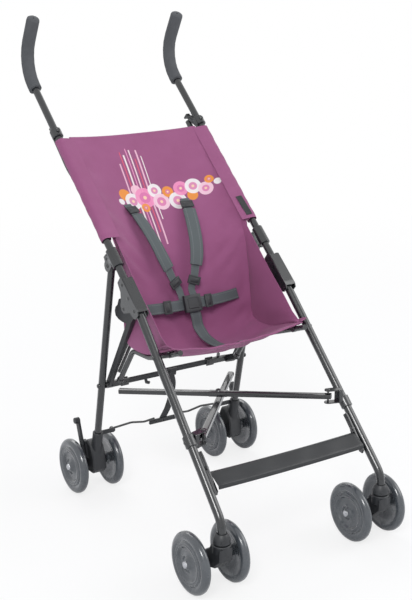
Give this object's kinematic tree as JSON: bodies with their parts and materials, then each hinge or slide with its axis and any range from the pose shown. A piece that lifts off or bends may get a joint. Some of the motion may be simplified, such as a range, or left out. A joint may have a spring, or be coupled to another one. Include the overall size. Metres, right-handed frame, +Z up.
{
  "type": "lightweight stroller",
  "caption": "Folding umbrella-style stroller with a cloth seat, harness, curved foam grips, crossed braces and twin wheels on swivel castors.",
  "frame": {"origin": "on the ground under the middle of the bounding box", "axes": "+Z up, -Y the way the child faces, +X the right-hand side seen from the front"},
  "size_m": [0.5206, 0.859, 1.0557],
  "materials": {
    "tube": "satin dark grey coat",
    "plastic": "fine grain",
    "foam": "soft foam",
    "wheel": "moulded, satin",
    "steel": "plain",
    "cloth": "woven, striped and printed",
    "webbing": "woven band",
    "strip": "soft gloss"
  },
  "bodies": {
    "left_frame": {"push_tube_l": "tube", "grip_l": "foam", "top_connector_l": "tube", "pivot_collar_l": "tube", "knee_bracket_l": "tube", "front_leg_l": "tube", "front_bracket_l": "tube", "footrest_bracket_l": "tube", "castor_socket_l": "plastic", "footrest": "strip", "seat_sling": "cloth", "shoulder_strap_l": "webbing", "shoulder_strap_r": "webbing", "waist_strap": "webbing", "harness_buckle": "plastic", "crotch_strap": "webbing"},
    "right_frame": {"push_tube_r": "tube", "grip_r": "foam", "top_connector_r": "tube", "pivot_collar_r": "tube", "knee_bracket_r": "tube", "front_leg_r": "tube", "front_bracket_r": "tube", "footrest_bracket_r": "tube", "castor_socket_r": "plastic"},
    "rear_leg_l": {"rear_leg_l": "tube", "rear_bracket_l": "tube", "rear_housing_l": "plastic", "rear_axle_l": "steel"},
    "side_link_l": {"side_link_l": "plastic"},
    "seat_rail_l": {"seat_rail_l": "tube"},
    "rear_brace_l": {"rear_brace_l": "tube"},
    "lower_bar_l": {"lower_bar_l": "tube"},
    "crossbar_l": {"crossbar_l": "plastic"},
    "brake_rod_l": {"brake_rod_l": "tube"},
    "brake_lever_l": {"brake_lever_l": "plastic"},
    "castor_l": {"castor_block_l": "plastic", "front_axle_l": "steel"},
    "front_wheel_l_outer": {"front_wheel_l_outer": "wheel"},
    "rear_wheel_l_outer": {"rear_wheel_l_outer": "wheel"},
    "front_wheel_l_inner": {"front_wheel_l_inner": "wheel"},
    "rear_wheel_l_inner": {"rear_wheel_l_inner": "wheel"},
    "rear_leg_r": {"rear_leg_r": "tube", "rear_bracket_r": "tube", "rear_housing_r": "plastic", "rear_axle_r": "steel"},
    "side_link_r": {"side_link_r": "plastic"},
    "seat_rail_r": {"seat_rail_r": "tube"},
    "rear_brace_r": {"rear_brace_r": "tube"},
    "lower_bar_r": {"lower_bar_r": "tube"},
    "crossbar_r": {"crossbar_r": "plastic"},
    "brake_rod_r": {"brake_rod_r": "tube"},
    "brake_lever_r": {"brake_lever_r": "plastic"},
    "castor_r": {"castor_block_r": "plastic", "front_axle_r": "steel"},
    "front_wheel_r_outer": {"front_wheel_r_outer": "wheel"},
    "rear_wheel_r_outer": {"rear_wheel_r_outer": "wheel"},
    "front_wheel_r_inner": {"front_wheel_r_inner": "wheel"},
    "rear_wheel_r_inner": {"rear_wheel_r_inner": "wheel"},
    "fold_lever": {"fold_lever": "plastic"}
  },
  "joints": [
    {"name": "fold", "type": "slide", "parent": "left_frame", "child": "right_frame", "axis": [-1, 0, 0], "range_m": [0, 0.17], "deforming": ["seat_sling", "shoulder_strap_l", "shoulder_strap_r", "waist_strap", "crotch_strap", "harness_buckle", "footrest"]},
    {"name": "rear_leg_swing_l", "type": "hinge", "parent": "left_frame", "child": "rear_leg_l", "pos_m": [-0.187, 0.033, 0.5585], "axis": [1, 0, 0], "range_deg": [-25.12, 0]},
    {"name": "seat_rail_swing_l", "type": "hinge", "parent": "left_frame", "child": "seat_rail_l", "pos_m": [-0.156, -0.155, 0.4093], "axis": [1, 0, 0], "range_deg": [0, 54.54]},
    {"name": "side_link_swing_l", "type": "hinge", "parent": "rear_leg_l", "child": "side_link_l", "pos_m": [-0.169, 0.093, 0.27], "axis": [1, 0, 0], "range_deg": [-10, 0]},
    {"name": "rear_brace_swing_l", "type": "hinge", "parent": "left_frame", "child": "rear_brace_l", "pos_m": [-0.178, 0.3126, 0.8013], "axis": [-0.4729, 0.7048, -0.5288], "range_deg": [0, 19.38]},
    {"name": "lower_bar_swing_l", "type": "hinge", "parent": "left_frame", "child": "lower_bar_l", "pos_m": [-0.157, -0.274, 0.2735], "axis": [0.6729, -0.5221, 0.524], "range_deg": [0, 39.3]},
    {"name": "crossbar_swing_l", "type": "hinge", "parent": "rear_leg_l", "child": "crossbar_l", "pos_m": [-0.113, 0.11906, 0.25808], "axis": [0, 0.9786, 0.2059], "range_deg": [-75.66, 0]},
    {"name": "brake_rod_swing_l", "type": "hinge", "parent": "rear_leg_l", "child": "brake_rod_l", "pos_m": [-0.146, 0.1301, 0.14493], "axis": [0, 0.9786, 0.2059], "range_deg": [-75.66, 0]},
    {"name": "rear_leg_swing_r", "type": "hinge", "parent": "right_frame", "child": "rear_leg_r", "pos_m": [0.187, 0.033, 0.5585], "axis": [1, 0, 0], "range_deg": [-25.12, 0]},
    {"name": "seat_rail_swing_r", "type": "hinge", "parent": "right_frame", "child": "seat_rail_r", "pos_m": [0.156, -0.155, 0.4093], "axis": [1, 0, 0], "range_deg": [0, 54.54]},
    {"name": "side_link_swing_r", "type": "hinge", "parent": "rear_leg_r", "child": "side_link_r", "pos_m": [0.169, 0.093, 0.27], "axis": [1, 0, 0], "range_deg": [-10, 0]},
    {"name": "rear_brace_swing_r", "type": "hinge", "parent": "right_frame", "child": "rear_brace_r", "pos_m": [0.178, 0.3126, 0.8013], "axis": [-0.4749, -0.6924, 0.5431], "range_deg": [0, 19.2]},
    {"name": "lower_bar_swing_r", "type": "hinge", "parent": "right_frame", "child": "lower_bar_r", "pos_m": [0.157, -0.274, 0.2925], "axis": [0.6776, 0.5274, -0.5125], "range_deg": [0, 38.92]},
    {"name": "crossbar_swing_r", "type": "hinge", "parent": "rear_leg_r", "child": "crossbar_r", "pos_m": [0.113, 0.12494, 0.25932], "axis": [0, 0.9786, 0.2059], "range_deg": [0, 75.66]},
    {"name": "brake_rod_swing_r", "type": "hinge", "parent": "rear_leg_r", "child": "brake_rod_r", "pos_m": [0.146, 0.1301, 0.14493], "axis": [0, 0.9786, 0.2059], "range_deg": [0, 75.66]},
    {"name": "fold_lever_turn", "type": "hinge", "parent": "crossbar_l", "child": "fold_lever", "pos_m": [0, 0.11632, 0.25751], "axis": [0, 0.9786, 0.2059], "range_deg": [0, 75.66]},
    {"name": "castor_swivel_l", "type": "hinge", "parent": "left_frame", "child": "castor_l", "pos_m": [-0.198, -0.405, 0.114], "axis": [0, 0, 1], "continuous": true},
    {"name": "front_wheel_spin_l_outer", "type": "hinge", "parent": "castor_l", "child": "front_wheel_l_outer", "pos_m": [-0.243, -0.366, 0.0635], "axis": [1, 0, 0], "continuous": true},
    {"name": "rear_wheel_spin_l_outer", "type": "hinge", "parent": "rear_leg_l", "child": "rear_wheel_l_outer", "pos_m": [-0.232, 0.156, 0.0635], "axis": [1, 0, 0], "continuous": true},
    {"name": "front_wheel_spin_l_inner", "type": "hinge", "parent": "castor_l", "child": "front_wheel_l_inner", "pos_m": [-0.153, -0.366, 0.0635], "axis": [1, 0, 0], "continuous": true},
    {"name": "rear_wheel_spin_l_inner", "type": "hinge", "parent": "rear_leg_l", "child": "rear_wheel_l_inner", "pos_m": [-0.142, 0.156, 0.0635], "axis": [1, 0, 0], "continuous": true},
    {"name": "brake_lever_press_l", "type": "hinge", "parent": "rear_leg_l", "child": "brake_lever_l", "pos_m": [-0.187, 0.153, 0.1135], "axis": [1, 0, 0], "range_deg": [-24, 0]},
    {"name": "castor_swivel_r", "type": "hinge", "parent": "right_frame", "child": "castor_r", "pos_m": [0.198, -0.405, 0.114], "axis": [0, 0, 1], "continuous": true},
    {"name": "front_wheel_spin_r_outer", "type": "hinge", "parent": "castor_r", "child": "front_wheel_r_outer", "pos_m": [0.243, -0.366, 0.0635], "axis": [1, 0, 0], "continuous": true},
    {"name": "rear_wheel_spin_r_outer", "type": "hinge", "parent": "rear_leg_r", "child": "rear_wheel_r_outer", "pos_m": [0.232, 0.156, 0.0635], "axis": [1, 0, 0], "continuous": true},
    {"name": "front_wheel_spin_r_inner", "type": "hinge", "parent": "castor_r", "child": "front_wheel_r_inner", "pos_m": [0.153, -0.366, 0.0635], "axis": [1, 0, 0], "continuous": true},
    {"name": "rear_wheel_spin_r_inner", "type": "hinge", "parent": "rear_leg_r", "child": "rear_wheel_r_inner", "pos_m": [0.142, 0.156, 0.0635], "axis": [1, 0, 0], "continuous": true},
    {"name": "brake_lever_press_r", "type": "hinge", "parent": "rear_leg_r", "child": "brake_lever_r", "pos_m": [0.187, 0.153, 0.1135], "axis": [1, 0, 0], "range_deg": [-24, 0]}
  ],
  "couplings": [
    {"joint": "rear_leg_swing_l", "follows": "fold", "rad_per_m": -2.5786},
    {"joint": "seat_rail_swing_l", "follows": "fold", "rad_per_m": 5.5987},
    {"joint": "side_link_swing_l", "follows": "fold", "rad_per_m": -1.0267},
    {"joint": "rear_brace_swing_l", "follows": "fold", "rad_per_m": 1.9889},
    {"joint": "lower_bar_swing_l", "follows": "fold", "rad_per_m": 4.034},
    {"joint": "crossbar_swing_l", "follows": "fold", "rad_per_m": -7.7671},
    {"joint": "brake_rod_swing_l", "follows": "fold", "rad_per_m": -7.7671},
    {"joint": "rear_leg_swing_r", "follows": "fold", "rad_per_m": -2.5786},
    {"joint": "seat_rail_swing_r", "follows": "fold", "rad_per_m": 5.5987},
    {"joint": "side_link_swing_r", "follows": "fold", "rad_per_m": -1.0267},
    {"joint": "rear_brace_swing_r", "follows": "fold", "rad_per_m": 1.9709},
    {"joint": "lower_bar_swing_r", "follows": "fold", "rad_per_m": 3.9955},
    {"joint": "crossbar_swing_r", "follows": "fold", "rad_per_m": 7.7671},
    {"joint": "brake_rod_swing_r", "follows": "fold", "rad_per_m": 7.7671},
    {"joint": "fold_lever_turn", "follows": "fold", "rad_per_m": 7.7671}
  ]
}
